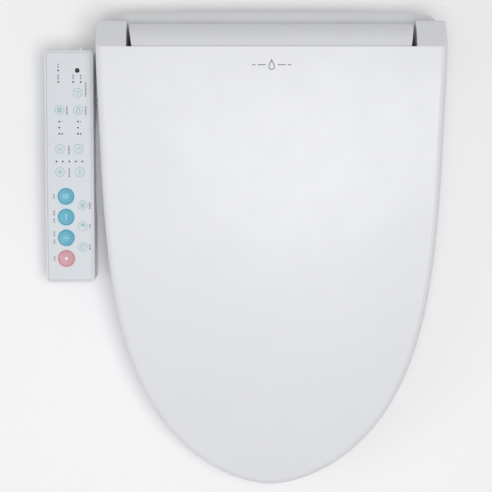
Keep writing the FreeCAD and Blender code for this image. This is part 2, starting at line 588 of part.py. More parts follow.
def build_mounting():
    plate = rounded_box(-PLATE_HALF, PLATE_HALF, PLATE_FRONT, PLATE_BACK, 0, PLATE_THICK, 8.0)
    reach = (BOLT_SLOT_LONG - BOLT_SLOT_WIDE) / 2
    for x in (-BOLT_SPACING / 2, BOLT_SPACING / 2):
        r = BOLT_SLOT_WIDE / 2
        slot = box(x - reach, x + reach, -r, r, -1, 20)
        for end in (-reach, reach):
            slot = slot.fuse(rod((x + end, 0, -1), (0, 0, 1), r, 21))
        plate = plate.cut(slot.removeSplitter())
        # room for the bolt's head
        plate = plate.cut(rounded_box(x - 26, x + 26, -9.5, 9.5, 3.5, 20, 3.0))
    # bayonet groove that the release latch sits in
    plate = plate.cut(box(92.5, 102.0, -34.5, -25.5, -1, 20)).cut(box(92.5, 98.0, -60, -30, -1, 20))
    for x in (-40.0, 0.0, 40.0):
        plate = plate.cut(rounded_box(x - 9, x + 9, 16, 34, 3.5, 20, 2.0))
        plate = plate.cut(rounded_box(x - 9, x + 9, -34, -16, 3.5, 20, 2.0))
    save("mounting_plate", plate.removeSplitter())
    # push button, rod and tongue of the quick-release latch in one piece
    cap = rounded_box(184.0, 192.5, LATCH_Y0, LATCH_Y1, LATCH_Z0, LATCH_Z1, 3.0, "x")
    bar = box(98.3, 184.5, -33.0, -27.5, 14.5, 18.0)
    tongue = box(98.3, 101.3, -33.0, -27.5, 3.0, 16.0)
    save("release_latch", fuse(cap, bar, tongue))


def build_dampers():
    for name, side in (("lid_damper", -1), ("seat_damper", 1)):
        body = rod_x(92, 145, HINGE_Y, HINGE_Z, 11.0)
        flange = rounded_box(142, 145, HINGE_Y - 15, HINGE_Y + 15, HINGE_Z - 13, HINGE_Z + 13, 5.0, "x")
        cap = rod_x(88, 93, HINGE_Y, HINGE_Z, 8.0)
        whole = fuse(body, flange, cap)
        whole = whole.cut(rod_x(130, 150, HINGE_Y, HINGE_Z, PIN_R + RUNNING))
        save(name, whole if side > 0 else mirrored(whole))


def build_water():
    # threaded nipple for the supply hose, hanging in the open rear corner
    x, y = INLET_X, INLET_Y
    stem = rod((x, y, 8.0), (0, 0, 1), 8.9, 32.0)
    thread = rod((x, y, 7.0), (0, 0, 1), 10.4, 17.0)
    flange = rod((x, y, 24.5), (0, 0, 1), 13.5, 3.4)
    hexagon = [(x + 13 * math.cos(math.radians(60 * i)), y + 13 * math.sin(math.radians(60 * i))) for i in range(6)]
    nipple = fuse(stem, thread, flange, prism_z(hexagon, 31.0, 37.0))
    nipple = nipple.cut(rod((x, y, 0), (0, 0, 1), 5.5, 50))
    save("water_inlet", nipple)
    body = rounded_box(x - 12, x + 14, 23.5, 44.0, 40.2, 56, 4.0)
    save("inlet_valve", fuse(body, rod((x + 13, 34, 48), (1, 0, 0), 6.5, 15)))
    tank = rounded_box(-134, -34, -36, 18, 48, 86, 8.0)
    tank = tank.cut(rounded_box(-131.6, -36.4, -33.6, 15.6, 50.4, 83.6, 6.0))
    neck = rod((-56, -10, 85), (0, 0, 1), 6.0, 9).cut(rod((-56, -10, 80), (0, 0, 1), 4.0, 20))
    save("water_tank", fuse(tank, neck))
    bars = [rod_x(-122, -46, heater_y, heater_z, 3.0) for heater_y, heater_z in ((-22, 62), (-9, 72), (4, 62))]
    save("water_heater", *bars)
    pump_x, pump_z = -112.0, 29.0
    motor = rod((pump_x, -26, pump_z), (0, 1, 0), 11.0, 26)
    head = rod((pump_x, -34, pump_z), (0, 1, 0), 13.0, 8)
    outlet = rod((pump_x, -30, pump_z + 10), (0, 0, 1), 3.0, 8)
    save("water_pump", fuse(motor, head, outlet))


def gear_corners():
    """Involute gear outline as (along, up) corners about the origin, with a gap pointing up."""
    pitch = GEAR_TEETH * GEAR_MODULE / 2
    base = pitch * math.cos(math.radians(20))
    outer = pitch + 0.8 * GEAR_MODULE
    root = pitch - 1.15 * GEAR_MODULE
    involute = math.tan(math.radians(20)) - math.radians(20)
    half = math.pi / (2 * GEAR_TEETH) - BACKLASH / pitch
    flank = []
    for i in range(5):
        r = base + (outer - base) * i / 4
        tangent = math.sqrt(max(0.0, (r / base) ** 2 - 1))
        flank.append((r, half + involute - (tangent - math.atan(tangent))))
    flank.insert(0, (root, flank[0][1]))
    points = []
    for k in range(GEAR_TEETH):
        middle = 2 * math.pi * (k + 0.5) / GEAR_TEETH
        points += [(r, middle - a) for r, a in flank]
        points += [(r, middle + a) for r, a in reversed(flank)]
    return [(r * math.sin(a), r * math.cos(a)) for r, a in points]


def rack_outline():
    """Side outline of the rack below the nozzle: (along, up) corners with straight flanks."""
    tooth = math.pi * GEAR_MODULE
    lean = math.tan(math.radians(20))
    root, tip = RACK_PITCH_LINE + GEAR_MODULE, RACK_PITCH_LINE - 0.75 * GEAR_MODULE
    half = tooth / 4 - BACKLASH
    low, high = half + GEAR_MODULE * lean, half - 0.75 * GEAR_MODULE * lean
    corners = [(NOZZLE_LONG, -4.0), (16.0, -4.0), (16.0, root)]
    middle = GEAR_ALONG - 3 * tooth
    while middle + low < NOZZLE_LONG:
        corners += [(middle - low, root), (middle - high, tip), (middle + high, tip), (middle + low, root)]
        middle += tooth
    corners.append((NOZZLE_LONG, root))
    return corners


def build_nozzles():
    gear_up = RACK_PITCH_LINE - GEAR_TEETH * GEAR_MODULE / 2 - 0.08
    for name, x in NOZZLE_X.items():
        tube = rod((x, 0, 0), (0, 1, 0), NOZZLE_R, NOZZLE_LONG)
        tube = filleted(tube, 2.5, lambda e: e.CenterOfMass.y < 0.1)
        # spray plate with its outlet holes on the upper side of the tip
        tube = tube.cut(box(x - 4, x + 4, 4, 20, NOZZLE_R - 1.0, NOZZLE_R + 1))
        for i in range(3):
            tube = tube.cut(rod((x, 8 + 4 * i, 2), (0, 0, 1), 0.7, 8))
        tube = tube.cut(rod((x, 6, 0), (0, 1, 0), 2.2, NOZZLE_LONG))
        rack = prism_x(rack_outline(), x - 2.5, x + 2.5)
        rack = rack.cut(rod((x, 0, 0), (0, 1, 0), NOZZLE_R - 1.0, NOZZLE_LONG + 1))
        save(f"nozzle_{name}", along_nozzle(fuse(tube, rack)))
        outward = math.copysign(1, x)
        wheel = prism_x(gear_corners(), x - 2.2, x + 2.2)
        ends = sorted((x - 2.2 * outward, x + 22 * outward))
        pinion = fuse(wheel, rod_x(ends[0], ends[1], 0, 0, 1.5))
        save(f"pinion_{name}", along_nozzle(pinion.translated(V(0, GEAR_ALONG, gear_up))))
    # cradle: guide ring at the front, three cheeks and a rear stop
    guide = rounded_box(-21.3, 21.3, -3, 19, -10.3, 8.3, 6.0, "y")
    for x in NOZZLE_X.values():
        guide = guide.cut(rod((x, -10, 0), (0, 1, 0), NOZZLE_R + 0.25, 60))
        guide = guide.cut(box(x - 2.9, x + 2.9, -10, 60, -9.0, -4))
    stop = NOZZLE_LONG + 0.8
    for x in (-21.3, -1.0, 19.3):
        guide = guide.fuse(box(x, x + 2, 18, stop + 1, -10, 7))
    guide = guide.fuse(box(-21.3, 21.3, stop, stop + 2, -10, 7))
    for x in (-21.3, 19.3):
        guide = guide.fuse(box(x, x + 2, GEAR_ALONG - 6, GEAR_ALONG + 6, gear_up - 4, -9))
    guide = guide.cut(rod_x(-40, 40, GEAR_ALONG, gear_up, 1.5 + RUNNING))
    behind_front = box(-40, 40, NOSE_FRONT_Y - 0.6, 60, 0, 120)
    save("nozzle_cradle", along_nozzle(guide.removeSplitter()).common(behind_front))
    motors = []
    for side in (-1, 1):
        ends = sorted((21.4 * side, 31.5 * side))
        motor = rod_x(ends[0], ends[1], GEAR_ALONG, gear_up, 10.0)
        motors.append(along_nozzle(motor.cut(rod_x(-50, 50, GEAR_ALONG, gear_up, 1.5 + RUNNING))))
    save("nozzle_motors", *motors)


def build_dryer():
    fan_y, fan_z, fan_x0, fan_x1 = -9.0, 84.0, 38.0, 60.0
    blade_r = 25.0
    scroll = rod_x(fan_x0 - 3, fan_x1 + 3, fan_y, fan_z, 30.0)
    throat = prism_x([(-66, 41), (-37, 72), (-20, 57), (-52, 37), (-72, 31)], 38, 62)
    mouth = prism_x([(-66, 41), (-52, 37), (-72, 29), (-109.5, 18.5), (-109.5, 37.5), (-78, 39.5)],
                    DRYER_X0 + 0.5, DRYER_X1 - 0.5)
    whole = scroll.fuse(throat).fuse(mouth)
    hollow = rod_x(fan_x0 - 1, fan_x1 + 1, fan_y, fan_z, 28.0)
    inner_throat = prism_x([(-66, 38.5), (-31, 72), (-17, 60), (-53, 39), (-72, 33)], 40, 60)
    inner_mouth = prism_x([(-67, 38.5), (-56, 37.5), (-73, 31), (-111, 20.5), (-111, 35.5), (-79, 37.3)],
                          DRYER_X0 + 2.5, DRYER_X1 - 2.5)
    whole = whole.cut(hollow).cut(inner_throat).cut(inner_mouth)
    whole = whole.cut(rod_x(fan_x0 - 10, fan_x0, fan_y, fan_z, 18.0))
    whole = whole.cut(rod_x(fan_x1, fan_x1 + 10, fan_y, fan_z, 2.0 + RUNNING))
    save("blower_housing", whole.removeSplitter())
    wheel = rod_x(fan_x0 + 4, fan_x1 - 1, fan_y, fan_z, 6.0)
    wheel = wheel.fuse(rod_x(fan_x1 - 3, fan_x1 - 1, fan_y, fan_z, blade_r))
    wheel = wheel.fuse(rod_x(fan_x1 - 2, fan_x1 + 12, fan_y, fan_z, 2.0))
    blades = 16
    for i in range(blades):
        blade = box(fan_x0 + 2, fan_x1 - 2, fan_y + blade_r - 9, fan_y + blade_r - 0.5, fan_z - 0.7, fan_z + 0.7)
        blade.rotate(V(0, fan_y + blade_r - 5, fan_z), V(1, 0, 0), 28)
        blade.rotate(V(0, fan_y, fan_z), V(1, 0, 0), 360.0 * i / blades)
        wheel = wheel.fuse(blade)
    ring = tube_x(fan_x0 + 2, fan_x0 + 3.5, fan_y, fan_z, blade_r, blade_r - 7)
    save("blower_fan", wheel.fuse(ring).removeSplitter())
    motor = rod_x(fan_x1 + 3.2, fan_x1 + 22, fan_y, fan_z, 14.0)
    save("blower_motor", motor.cut(rod_x(fan_x1, fan_x1 + 14, fan_y, fan_z, 2.0 + RUNNING)))
    front = NOSE_FRONT_Y - 0.4
    flap_top = DRYER_Z1 + 2.5
    flap = rounded_box(DRYER_X0 - 2, DRYER_X1 + 2, front - 2, front, DRYER_Z0 - 2, flap_top, 2.0, "y")
    for i in range(3):
        z = DRYER_Z0 + 5 + 5 * i
        flap = flap.cut(box(DRYER_X0 + 3, DRYER_X1 - 3, front - 2.2, front - 1.5, z - 0.5, z + 0.5))
    bar = rod_x(DRYER_X0 - 2, DRYER_X1 + 2, front - 1.0, flap_top, 1.0)
    save("dryer_flap", fuse(flap, bar))


def build_deodoriser():
    body = rounded_box(128, 188.0, FILTER_Y0, FILTER_Y1, FILTER_Z0, FILTER_Z1, 3.0, "x")
    for i in range(5):
        y = FILTER_Y0 + 5 + 4.6 * i
        body = body.cut(box(132, 174, y, y + 2.2, FILTER_Z0 - 1, FILTER_Z1 + 1))
    grip = rounded_box(186.5, 191.5, FILTER_Y0, FILTER_Y1, FILTER_Z0, FILTER_Z1, 3.0, "x")
    grip = grip.cut(rounded_box(189.5, 193, FILTER_Y0 + 6, FILTER_Y1 - 6, FILTER_Z0 + 6, FILTER_Z1 - 6, 3.0, "x"))
    save("filter_cartridge", fuse(body, grip))
    y, z = 19.0, 27.0
    frame = rounded_box(108, 126.5, 4, 34, 13, 41, 4.0, "x").cut(rod_x(100, 130, y, z, 12.5))
    spokes = fuse(box(108, 110, 4.5, 33.5, z - 1, z + 1), rod_x(108, 112, y, z, 4.0))
    save("deodoriser_housing", fuse(frame, spokes))
    wheel = rod_x(112.6, 123, y, z, 4.6)
    for i in range(7):
        blade = box(114, 122, y + 3.6, y + 11.6, z - 0.6, z + 0.6)
        blade.rotate(V(118, y + 7, z), V(0, 1, 0), 35)
        blade.rotate(V(0, y, z), V(1, 0, 0), 360.0 * i / 7)
        wheel = wheel.fuse(blade)
    save("deodoriser_fan", wheel.removeSplitter())


def build_electrics():
    board = box(100, 148, -36, 18, 46, 47.6)
    parts = [box(104, 116, -30, -14, 47.6, 60), box(122, 134, -10, 8, 47.6, 66),
             rod((126, -26, 47.6), (0, 0, 1), 5.0, 18), rod((110, 4, 47.6), (0, 0, 1), 4.0, 12)]
    save("main_board", fuse(board, *parts))
    save("power_relay", rounded_box(104, 140, -30, 10, 70, 84, 2.0))
    ring = rod((CORD_X, 46.0, CORD_Z), (0, 1, 0), 7.9, 8.0)
    lip = rod((CORD_X, 44.0, CORD_Z), (0, 1, 0), 9.5, 2.2)
    gland = fuse(ring, lip).cut(rod((CORD_X, 40, CORD_Z), (0, 1, 0), CORD_BORE_R, 20))
    save("cord_gland", gland)


# ---------------------------------------------------------------- control panel
def on_panel(shape):
    """Moves a shape modelled flat, rear end at the origin and front towards -Y, onto the slope."""
    out = shape.copy()
    slope = Placement(V(PANEL_X, PANEL_Y, PANEL_Z), Rotation(V(1, 0, 0), PANEL_SLOPE))
    out.Placement = slope * shape.Placement
    return out


def panel_slab(inset, z0, z1, radius):
    return rounded_box(-PANEL_HALF + inset, PANEL_HALF - inset, -PANEL_LONG + inset, -inset, z0, z1, radius)


def button_holes(gap, z0, z1):
    """One tool with every hole that the buttons pass through."""
    holes = []
    for places, radius in ((BIG_BUTTONS, BIG_BUTTON_R), (SMALL_BUTTONS, SMALL_BUTTON_R)):
        holes += [rod((x, -y, z0), (0, 0, 1), radius + gap, z1 - z0) for x, y in places.values()]
    return Part.makeCompound(holes)


def build_panel():
    cover = panel_slab(0, -14, 0, 5.5)
    cover = filleted(cover, 2.2, lambda e: e.CenterOfMass.z > -0.01)
    cover = cover.cut(panel_slab(2.2, -20, -3.0, 3.5)).cut(panel_slab(2.4, -1.3, 5, 3.6))
    cover = cover.cut(button_holes(0.45, -10, 5)).cut(rod((SENSOR[0], -SENSOR[1], -10), (0, 0, 1), SENSOR_R + 0.05, 20))
    for x, y in LEDS:
        cover = cover.cut(rod((x, -y, -10), (0, 0, 1), LED_R + 0.05, 20))
    cover = cover.cut(rod((13.0, -6, -7.0), (0, 1, 0), 4.4, 10))
    save("panel_cover", on_panel(cover.removeSplitter()))
    film = panel_slab(2.6, -1.25, -0.15, 3.4).cut(button_holes(0.3, -10, 5))
    film = film.cut(rod((SENSOR[0], -SENSOR[1], -10), (0, 0, 1), SENSOR_R + 0.05, 20))
    for x, y in LEDS:
        film = film.cut(rod((x, -y, -10), (0, 0, 1), LED_R + 0.05, 20))
    save("panel_overlay", on_panel(film.removeSplitter()))
    # lower casing: deep at both ends, shallow under the middle
    belly = prism_x([(0, -14.2), (0, -50), (-62, -50), (-90, -28), (-170, -28), (-190, -40),
                     (-PANEL_LONG + 6, -40), (-PANEL_LONG, -34), (-PANEL_LONG, -14.2)], -PANEL_HALF, PANEL_HALF)
    belly = belly.common(panel_slab(0.4, -60, -14.2, 5.2))
    hollow = prism_x([(-2.6, -10), (-2.6, -47.4), (-61, -47.4), (-89, -25.4), (-171, -25.4), (-191, -37.4),
                      (-PANEL_LONG + 7, -37.4), (-PANEL_LONG + 2.6, -33), (-PANEL_LONG + 2.6, -10)],
                     -PANEL_HALF + 2.8, PANEL_HALF - 2.8)
    hollow = hollow.common(panel_slab(2.8, -60, 0, 3.0))
    belly = belly.cut(hollow).cut(rounded_box(20, 40, -42, -12, -44, -38, 2.0, "x"))
    for x, y in PANEL_SCREWS:
        depth = -50 if y < 62 else -40
        boss = rod((x, -y, depth + 1), (0, 0, 1), 3.6, -15 - depth)
        belly = belly.fuse(boss).cut(rod((x, -y, depth - 1), (0, 0, 1), 3.4, 5)).cut(rod((x, -y, depth), (0, 0, 1), 1.5, 60))
    save("panel_base", on_panel(belly.removeSplitter()))
    heads = [screw(x, -y, (-46 if y < 62 else -36), (0, 0, 1), 3.1, 1.45, 18) for x, y in PANEL_SCREWS]
    save("panel_screws", *[on_panel(h) for h in heads])
    board = panel_slab(4.0, -10.6, -9.0, 2.0)
    for places in (BIG_BUTTONS, SMALL_BUTTONS):
        for x, y in places.values():
            board = board.fuse(box(x - 2.5, x + 2.5, -y - 2.5, -y + 2.5, -9.2, -6.6))
            board = board.fuse(rod((x, -y, -6.8), (0, 0, 1), 1.5, 0.7))
    board = board.cut(box(7, 19, -12, 0, -12, 0))
    save("panel_board", on_panel(board.removeSplitter()))
    save("indicator_leds", *[on_panel(rod((x, -y, -8.9), (0, 0, 1), LED_R, 8.85)) for x, y in LEDS])
    save("sensor_window", on_panel(rod((SENSOR[0], -SENSOR[1], -8.9), (0, 0, 1), SENSOR_R, 8.9)))
    for places, radius in ((BIG_BUTTONS, BIG_BUTTON_R), (SMALL_BUTTONS, SMALL_BUTTON_R)):
        rise = 0.55 if radius == BIG_BUTTON_R else 0.25
        for name, (x, y) in places.items():
            cap = rod((x, -y, -3.4), (0, 0, 1), radius, 3.4 + rise)
            cap = filleted(cap, 0.35, lambda e, top=rise: e.CenterOfMass.z > top - 0.01)
            flange = rod((x, -y, -4.6), (0, 0, 1), radius + 0.9, 1.3)
            save(name, on_panel(fuse(cap, flange)))
    # domed power button in the rear end
    dome = Part.makeSphere(5.6, V(13.0, -2.7, -7.0)).common(box(5, 21, -3.2, 4, -16, 2))
    dome = dome.common(rod((13.0, -7, -7.0), (0, 1, 0), 4.2, 12))
    stem = rod((13.0, -9, -7.0), (0, 1, 0), 2.0, 6)
    save("power_button", on_panel(fuse(dome, stem)))
    # hollow arm from the base housing to the panel
    arm = rounded_box(-198.0, -190.1, BRACKET_Y0, BRACKET_Y1, BRACKET_Z0, BRACKET_Z1, 4.0, "x")
    arm = arm.cut(rounded_box(-205, -180, BRACKET_Y0 + 3, BRACKET_Y1 - 3, BRACKET_Z0 + 3, BRACKET_Z1 - 3, 2.0, "x"))
    save("panel_bracket", arm)


PANEL_SCREWS = [(-18.0, 12.0), (18.0, 52.0), (-18.0, 206.0), (18.0, 248.0)]


build_lid()
build_seat()
build_housings()
build_mounting()
build_dampers()
build_water()
build_nozzles()
build_dryer()
build_deodoriser()
build_electrics()
build_panel()
print("nodes:", len([f for f in os.listdir("parts") if f.endswith(".step")]))
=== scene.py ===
"""Looks of the electric bidet seat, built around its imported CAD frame.

Metres, +Z up, the user faces -Y, the control panel is on the -X side.
"""

import json
import math

import bmesh
import bpy
from mathutils import Matrix, Vector
from mathutils.bvhtree import BVHTree


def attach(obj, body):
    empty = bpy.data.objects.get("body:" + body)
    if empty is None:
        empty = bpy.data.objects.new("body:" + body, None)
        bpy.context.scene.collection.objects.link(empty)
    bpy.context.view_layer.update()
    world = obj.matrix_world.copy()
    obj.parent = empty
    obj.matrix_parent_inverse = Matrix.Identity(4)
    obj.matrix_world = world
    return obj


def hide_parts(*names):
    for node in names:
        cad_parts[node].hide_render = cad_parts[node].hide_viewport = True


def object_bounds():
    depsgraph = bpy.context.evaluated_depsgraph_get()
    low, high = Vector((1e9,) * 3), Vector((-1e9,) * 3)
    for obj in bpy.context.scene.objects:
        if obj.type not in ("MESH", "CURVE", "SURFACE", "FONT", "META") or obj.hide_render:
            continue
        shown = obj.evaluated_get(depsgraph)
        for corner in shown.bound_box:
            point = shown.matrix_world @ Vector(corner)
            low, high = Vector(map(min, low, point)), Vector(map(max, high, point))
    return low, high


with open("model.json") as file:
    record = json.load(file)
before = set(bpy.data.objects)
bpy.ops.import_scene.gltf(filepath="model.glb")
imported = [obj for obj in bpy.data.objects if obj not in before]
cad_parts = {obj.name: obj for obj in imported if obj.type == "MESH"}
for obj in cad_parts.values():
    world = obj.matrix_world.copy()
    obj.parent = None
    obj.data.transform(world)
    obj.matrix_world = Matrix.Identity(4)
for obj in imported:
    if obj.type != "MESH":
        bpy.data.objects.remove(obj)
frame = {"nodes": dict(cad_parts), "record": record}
cad_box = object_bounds()
nodes = frame["nodes"]

MM = 0.001
PANEL_SLOPE = math.radians(4.9)      # the panel's front end is lower
FILM_DEPTH = 0.15 * MM               # the film lies this far below the panel's rim
INK_THICK = 0.07 * MM
BIG_BUTTON_R, SMALL_BUTTON_R = 9.0 * MM, 4.9 * MM
KEY_GROWTH = 0.16 * MM               # the shown key is this much larger in radius than its nominal size
PAINTED_HIGHLIGHT_GAP = 0.16 * MM                 # between the key and the painted highlight ring round it
SHARP_ANGLE = math.radians(38)       # edges sharper than this stay sharp
MARK_Y = -16.0 * MM
MARK_DROP = 4.4 * MM                 # half height of the lid mark's drop
MARK_LINE = 0.95 * MM                # width of its lines
MARK_SUNK = 0.02 * MM                # its underside lies this far in the lid
CAMERA_AT = (-0.0276, -0.211, 1.9)   # over the seat, looking straight down
CAMERA_LENS = 119.6
FLOOR_GAP = 0.2 * MM
FLOOR_HALF = 6.0
ROOM_LIGHT = 0.46


# ---------------------------------------------------------------- materials
def shader(name):
    """A new node material and its tree, shader and a function that adds a node."""
    mat = bpy.data.materials.new(name)
    mat.use_nodes = True
    tree = mat.node_tree
    bsdf = tree.nodes["Principled BSDF"]

    def add(kind, **values):
        node = tree.nodes.new(kind)
        for key, value in values.items():
            if key in node.inputs:
                node.inputs[key].default_value = value
            else:
                setattr(node, key, value)
        return node
    return mat, tree, bsdf, add


def place(add):
    """Coordinates that stay with the piece."""
    return add("ShaderNodeTexCoord").outputs["Object"]


def noise_at(tree, add, where, scale, detail=3.0):
    node = add("ShaderNodeTexNoise", Scale=scale, Detail=detail, Roughness=0.55)
    tree.links.new(where, node.inputs["Vector"])
    return node.outputs["Fac"]


def spread(tree, add, source, low, high):
    """The source's middle range spread over low..high."""
    node = add("ShaderNodeMapRange")
    node.inputs["From Min"].default_value = 0.3
    node.inputs["From Max"].default_value = 0.7
    node.inputs["To Min"].default_value = low
    node.inputs["To Max"].default_value = high
    tree.links.new(source, node.inputs["Value"])
    return node.outputs["Result"]


def tint(colour, factor):
    return tuple(min(1.0, c * factor) for c in colour[:3]) + (1.0,)


def moulded(name, colour, rough=0.32, vary=0.012, grain=0.02, grain_scale=2600.0,
            coat=0.0, worn=0.0, sss=0.0, shine=0.5):
    """Moulded plastic: faint cloudiness, uneven gloss, a fine spark-eroded grain and paler worn edges."""
    mat, tree, bsdf, add = shader(name)
    where = place(add)
    cloud = noise_at(tree, add, where, 9.0, 4.0)
    mix = add("ShaderNodeMix", data_type="RGBA")
    mix.inputs["A"].default_value = tint(colour, 1 - vary)
    mix.inputs["B"].default_value = tint(colour, 1 + vary)
    tree.links.new(spread(tree, add, cloud, 0.0, 1.0), mix.inputs["Factor"])
    result = mix.outputs["Result"]
    if worn:
        edge = add("ShaderNodeNewGeometry").outputs["Pointiness"]
        sharp = add("ShaderNodeMapRange")
        sharp.inputs["From Min"].default_value = 0.53
        sharp.inputs["From Max"].default_value = 0.62
        sharp.inputs["To Max"].default_value = worn
        tree.links.new(edge, sharp.inputs["Value"])
        rub = add("ShaderNodeMix", data_type="RGBA")
        rub.inputs["B"].default_value = tint(colour, 1.12)
        tree.links.new(result, rub.inputs["A"])
        tree.links.new(sharp.outputs["Result"], rub.inputs["Factor"])
        result = rub.outputs["Result"]
    tree.links.new(result, bsdf.inputs["Base Color"])
    gloss = noise_at(tree, add, where, 38.0, 5.0)
    tree.links.new(spread(tree, add, gloss, rough - 0.035, rough + 0.035), bsdf.inputs["Roughness"])
    fine = noise_at(tree, add, where, grain_scale, 2.0)
    bump = add("ShaderNodeBump", Strength=grain, Distance=0.0002)
    tree.links.new(fine, bump.inputs["Height"])
    tree.links.new(bump.outputs["Normal"], bsdf.inputs["Normal"])
    bsdf.inputs["IOR"].default_value = 1.5
    bsdf.inputs["Specular IOR Level"].default_value = shine
    bsdf.inputs["Coat Weight"].default_value = coat
    bsdf.inputs["Coat Roughness"].default_value = 0.12
    bsdf.inputs["Subsurface Weight"].default_value = sss
    bsdf.inputs["Subsurface Radius"].default_value = (0.004, 0.003, 0.002)
    bsdf.inputs["Subsurface Scale"].default_value = 0.5
    return mat


def metal(name, colour, rough, streak, scale=(40.0, 900.0, 900.0)):
    """Metal with fine drawn streaks along X and uneven gloss."""
    mat, tree, bsdf, add = shader(name)
    where = place(add)
    stretch = add("ShaderNodeMapping")
    stretch.inputs["Scale"].default_value = scale
    tree.links.new(where, stretch.inputs["Vector"])
    lines = noise_at(tree, add, stretch.outputs["Vector"], 1.0, 4.0)
    blotch = noise_at(tree, add, where, 60.0, 3.0)
    mix = add("ShaderNodeMix", data_type="RGBA")
    mix.inputs["A"].default_value = tint(colour, 0.88)
    mix.inputs["B"].default_value = tint(colour, 1.06)
    tree.links.new(spread(tree, add, blotch, 0.0, 1.0), mix.inputs["Factor"])
    tree.links.new(mix.outputs["Result"], bsdf.inputs["Base Color"])
    tree.links.new(spread(tree, add, lines, rough - 0.07, rough + 0.07), bsdf.inputs["Roughness"])
    bump = add("ShaderNodeBump", Strength=streak, Distance=0.00005)
    tree.links.new(lines, bump.inputs["Height"])
    tree.links.new(bump.outputs["Normal"], bsdf.inputs["Normal"])
    bsdf.inputs["Metallic"].default_value = 1.0
    return mat


def rubber(name, colour):
    """Soft rubber: matte, dusty in patches, with a pebbled surface."""
    return moulded(name, colour, rough=0.72, vary=0.06, grain=0.12, grain_scale=1500.0)


def circuit(name):
    """Green laminate with copper tracks under the lacquer."""
    mat, tree, bsdf, add = shader(name)
    where = place(add)
    bricks = add("ShaderNodeTexBrick", Scale=180.0)
    bricks.inputs["Color1"].default_value = (0.012, 0.10, 0.04, 1)
    bricks.inputs["Color2"].default_value = (0.018, 0.13, 0.055, 1)
    bricks.inputs["Mortar"].default_value = (0.05, 0.22, 0.10, 1)
    bricks.inputs["Mortar Size"].default_value = 0.035
    tree.links.new(where, bricks.inputs["Vector"])
    tree.links.new(bricks.outputs["Color"], bsdf.inputs["Base Color"])
    gloss = noise_at(tree, add, where, 120.0)
    tree.links.new(spread(tree, add, gloss, 0.28, 0.40), bsdf.inputs["Roughness"])
    bump = add("ShaderNodeBump", Strength=0.3, Distance=0.0001)
    tree.links.new(bricks.outputs["Fac"], bump.inputs["Height"])
    tree.links.new(bump.outputs["Normal"], bsdf.inputs["Normal"])
    return mat


WHITE = (0.748, 0.754, 0.778)
MATERIALS = {
    "body_plastic": moulded("white_shell", WHITE, rough=0.44, grain=0.03, coat=0.04, sss=0.04),
    "base_plastic": moulded("white_base", (0.728, 0.736, 0.755), rough=0.36, grain=0.04),
    "panel_film": moulded("printed_film", (0.665, 0.695, 0.725), rough=0.42, vary=0.008, grain=0.015),
    "button_blue": moulded("blue_key", (0.078, 0.315, 0.43), rough=0.45, vary=0.03, grain=0.05),
    "button_pink": moulded("pink_key", (0.52, 0.25, 0.295), rough=0.45, vary=0.03, grain=0.05),
    "button_pale": moulded("pale_key", (0.62, 0.69, 0.715), rough=0.45, vary=0.01, grain=0.03),
    "power_grey": moulded("power_key", (0.62, 0.65, 0.70), rough=0.22, coat=0.3),
    "indicator_clear": moulded("light_pipe", (0.02, 0.021, 0.025), rough=0.25, shine=0.3),
    "sensor_dark": moulded("smoked_window", (0.006, 0.006, 0.008), rough=0.22, shine=0.2),
    "rubber_grey": rubber("grey_rubber", (0.42, 0.42, 0.43)),
    "steel": metal("bright_steel", (0.60, 0.60, 0.61), 0.28, 0.10),
    "motor_steel": metal("plated_can", (0.52, 0.52, 0.53), 0.34, 0.06),
    "damper_black": moulded("black_nylon", (0.025, 0.025, 0.028), rough=0.5, vary=0.1, grain=0.08),
    "plate_plastic": moulded("plate_nylon", (0.66, 0.66, 0.66), rough=0.5, vary=0.03, grain=0.08),
    "latch_grey": moulded("latch_grey", (0.50, 0.52, 0.55), rough=0.35, worn=0.5),
    "brass_fitting": metal("turned_brass", (0.62, 0.44, 0.20), 0.26, 0.15, (900.0, 900.0, 60.0)),
    "inner_plastic": moulded("natural_plastic", (0.62, 0.62, 0.58), rough=0.5, vary=0.03, grain=0.05),
    "nozzle_plastic": moulded("nozzle_white", (0.84, 0.85, 0.86), rough=0.22, coat=0.25),
    "gear_acetal": moulded("natural_acetal", (0.74, 0.73, 0.68), rough=0.4, vary=0.02, sss=0.05),
    "flap_plastic": moulded("flap_white", (0.78, 0.78, 0.80), rough=0.34),
    "filter_case": moulded("filter_case", (0.10, 0.105, 0.115), rough=0.5, vary=0.08, grain=0.08, worn=0.5),
    "board_green": circuit("green_laminate"),
    "relay_black": moulded("relay_case", (0.02, 0.02, 0.022), rough=0.45, vary=0.1),
    "heating_foil": metal("thin_foil", (0.70, 0.70, 0.71), 0.3, 0.3, (300.0, 300.0, 300.0)),
}
INK_DARK = moulded("ink_grey", (0.085, 0.09, 0.105), rough=0.55, vary=0.08, grain=0.02)
INK_LINE = moulded("ink_border", (0.50, 0.52, 0.545), rough=0.5, vary=0.02, grain=0.02)
INK_TEAL = moulded("ink_teal", (0.20, 0.47, 0.52), rough=0.5, vary=0.05, grain=0.02)
INK_GREEN = moulded("ink_green", (0.20, 0.46, 0.40), rough=0.5, vary=0.05, grain=0.02)
INK_SKY = moulded("ink_sky", (0.36, 0.70, 0.86), rough=0.5, vary=0.04, grain=0.02)
INK_WHITE = moulded("ink_white", (0.86, 0.80, 0.81), rough=0.5, vary=0.02, grain=0.02)
INK_MARK = moulded("ink_mark", (0.16, 0.165, 0.19), rough=0.5, vary=0.05, grain=0.02)
# pale rings on the film round the keys: painted highlight
PAINTED_HIGHLIGHT_BLUE = moulded("painted_highlight_blue", (0.50, 0.74, 0.86), rough=0.4, vary=0.01, grain=0.01)
PAINTED_HIGHLIGHT_PINK = moulded("painted_highlight_pink", (0.76, 0.56, 0.60), rough=0.4, vary=0.01, grain=0.01)
PAINTED_HIGHLIGHT_PALE = moulded("painted_highlight_pale", (0.60, 0.70, 0.715), rough=0.4, vary=0.01, grain=0.01)
FACE_BLUE = moulded("blue_key_face", (0.105, 0.405, 0.54), rough=0.42, vary=0.03, grain=0.04)
